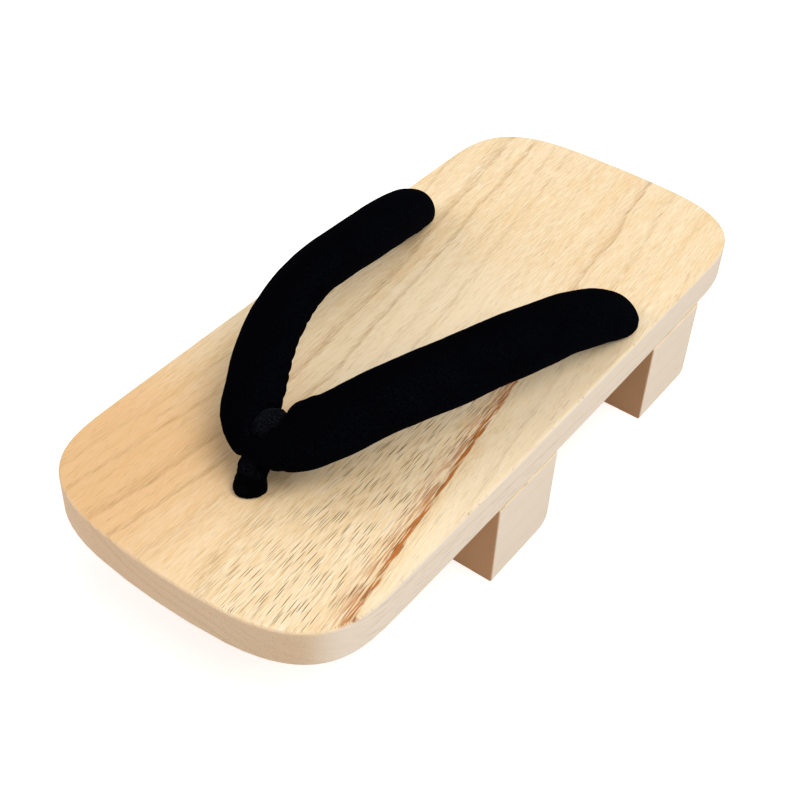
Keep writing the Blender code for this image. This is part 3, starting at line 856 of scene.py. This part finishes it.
class BuildBoard(bpy.types.Operator):
    """Gives the board its planed paulownia"""
    bl_idname = "geta.board"
    bl_label = "Board"

    def execute(self, context):
        look = context.scene.geta_wood
        finish_node("board", grown_wood(
            "paulownia_planed_board", look, BOARD_LINES,
            leans=1, depth_slope=2.5, streak=True, pores=0.75))
        return {"FINISHED"}


class BuildTeeth(bpy.types.Operator):
    """Gives the two teeth their planed paulownia"""
    bl_idname = "geta.teeth"
    bl_label = "Teeth"

    def execute(self, context):
        look = context.scene.geta_wood
        material = grown_wood(
            "paulownia_planed_teeth", look, TOOTH_LINES,
            leans=0, depth_slope=-0.78, streak=False, pores=0.1)
        for name in ("front_tooth", "rear_tooth"):
            finish_node(name, material)
        return {"FINISHED"}


class BuildStraps(bpy.types.Operator):
    """Makes the padded velvet straps, with their gathers and seams"""
    bl_idname = "geta.straps"
    bl_label = "Straps"

    def execute(self, context):
        look = context.scene.geta_velvet
        straps = cloth_over("thong_straps", "velvet_straps", look.voxel)
        apply(straps, "SMOOTH", {"factor": 0.5, "iterations": 3})
        stuff(straps, look.swell)
        apply(straps, "SMOOTH", {"factor": 0.5, "iterations": 2})
        gather_straps(straps, look)
        material = velvet("cotton_velvet_straps", look, look.nap_and_painted_sheen, way=0, dark_to=-0.5, sheen=0.006)
        finish_cloth(straps, material, "thong_straps")
        return {"FINISHED"}


class BuildLoop(bpy.types.Operator):
    """Makes the gathered velvet toe loop"""
    bl_idname = "geta.loop"
    bl_label = "Toe loop"

    def execute(self, context):
        look = context.scene.geta_velvet
        loop = cloth_over("toe_loop", "velvet_toe_loop", look.fine_voxel)
        apply(loop, "SMOOTH", {"factor": 0.5, "iterations": 3})
        gather_loop(loop)
        # The loop gets painted sheen on its faces that turn up
        material = velvet("cotton_velvet_loop", look, look.painted_top_sheen, way=2, dark_to=0.5, sheen=0.015)
        finish_cloth(loop, material, "toe_loop")
        return {"FINISHED"}


class BuildKnots(bpy.types.Operator):
    """Ties the cord ends in knots under the board"""
    bl_idname = "geta.knots"
    bl_label = "Knots"

    def execute(self, context):
        material = cord_material(context.scene.geta_velvet)
        for name, x in (("left_strap_knot", REAR_HOLE_X), ("right_strap_knot", -REAR_HOLE_X)):
            tie_knot(name, x, REAR_HOLE_Y, material, "thong_straps")
        tie_knot("toe_loop_knot", 0, FRONT_HOLE_Y, material, "toe_loop")
        return {"FINISHED"}


class BuildStage(bpy.types.Operator):
    """Lays the pale floor, sets the soft lights and places the camera"""
    bl_idname = "geta.stage"
    bl_label = "Stage"

    def execute(self, context):
        look = context.scene.geta_stage
        scene = context.scene
        only(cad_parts["board"])
        bpy.ops.mesh.primitive_plane_add(size=12)
        floor = context.object
        floor.name = "studio_floor"
        floor.data.materials.append(self.paper(look))
        self.light("key_light", look.key, 1.0, (0.85, -0.1, 1.3), linear("#FFF9F2"))
        self.light("fill_light", look.fill, 1.2, (-0.9, -0.8, 0.7), linear("#FFFCFA"))
        self.light("top_light", look.top, 1.0, (-0.1, 0.8, 1.25), linear("#FFFCF8"))
        world = bpy.data.worlds.new("white_room")
        scene.world = world
        world.use_nodes = True
        background = world.node_tree.nodes["Background"]
        background.inputs["Color"].default_value = colour_of(linear("#FFFEFD"))
        # The lens sees the room as white as the paper, and it lights the sandal by look.sky
        room = world.node_tree
        seen = add(room, "LightPath", {})["Is Camera Ray"]
        strength = add(room, "Mix", {0: seen, 2: look.sky, 3: look.white})[0]
        room.links.new(strength, background.inputs["Strength"])
        scene.view_settings.view_transform = "Standard"
        self.camera(look, scene)
        return {"FINISHED"}

    def paper(self, look):
        """White studio paper, matt. What the lens sees of it is lifted, as in a bright product
        photo, but it throws no more light back on the sandal."""
        made, tree, shader = new_material("studio_paper")
        shader.inputs["Base Color"].default_value = colour_of(look.paper)
        shader.inputs["Roughness"].default_value = 1
        shader.inputs["Specular IOR Level"].default_value = 0
        shader.inputs["Emission Color"].default_value = colour_of(linear("#FFFDFD"))
        seen = add(tree, "LightPath", {})["Is Camera Ray"]
        glow = add(tree, "Math", {**TIMES, 0: seen, 1: look.lift})[0]
        tree.links.new(glow, shader.inputs["Emission Strength"])
        return made

    def light(self, name, power, size, place, colour):
        data = bpy.data.lights.new(name, "AREA")
        data.energy = power
        data.size = size
        data.color = colour
        lamp = bpy.data.objects.new(name, data)
        bpy.context.scene.collection.objects.link(lamp)
        lamp.location = place
        aim = Vector(LIGHT_AIM) - Vector(place)
        lamp.rotation_euler = aim.to_track_quat("-Z", "Y").to_euler()

    def camera(self, look, scene):
        """The photograph's view: 41 degrees down, with the whole sandal in the frame."""
        data = bpy.data.cameras.new("camera")
        data.lens = look.focal_length
        data.sensor_width = 36
        camera = bpy.data.objects.new("camera", data)
        scene.collection.objects.link(camera)
        ahead = (Vector(CAMERA_AIM) - Vector(CAMERA_PLACE)).normalized()
        right = ahead.cross(Vector((0, 0, 1))).normalized()
        right.rotate(Matrix.Rotation(radians(CAMERA_ROLL), 3, ahead))
        up = right.cross(ahead)
        turn = Matrix((right, up, -ahead)).transposed().to_4x4()
        camera.matrix_world = Matrix.Translation(CAMERA_PLACE) @ turn
        scene.camera = camera


class GetaPanel(bpy.types.Panel):
    """Lists the pieces of the sandal"""
    bl_idname = "VIEW3D_PT_geta"
    bl_label = "Geta sandal"
    bl_space_type = "VIEW_3D"
    bl_region_type = "UI"
    bl_category = "Geta"

    def draw(self, context):
        for group, pieces in ((context.scene.geta_wood, (BuildBoard, BuildTeeth)),
                              (context.scene.geta_velvet, (BuildStraps, BuildLoop, BuildKnots)),
                              (context.scene.geta_stage, (BuildStage,))):
            box = self.layout.box()
            for name in group.bl_rna.properties.keys():
                if name not in ("rna_type", "name"):
                    box.prop(group, name)
            for piece in pieces:
                box.operator(piece.bl_idname)


GROUPS = {"geta_wood": WoodLook, "geta_velvet": VelvetLook, "geta_stage": StageLook}
OPERATORS = (BuildBoard, BuildTeeth, BuildStraps, BuildLoop, BuildKnots, BuildStage)


def register():
    for name, group in GROUPS.items():
        bpy.utils.register_class(group)
        setattr(bpy.types.Scene, name, bpy.props.PointerProperty(type=group))
    for made in (*OPERATORS, GetaPanel):
        bpy.utils.register_class(made)


def unregister():
    for made in reversed((*OPERATORS, GetaPanel)):
        bpy.utils.unregister_class(made)
    for name, group in GROUPS.items():
        delattr(bpy.types.Scene, name)
        bpy.utils.unregister_class(group)


def main():
    register()
    bpy.ops.geta.board()
    bpy.ops.geta.teeth()
    bpy.ops.geta.straps()
    bpy.ops.geta.loop()
    bpy.ops.geta.knots()
    bpy.ops.geta.stage()


if __name__ == "__main__":
    main()
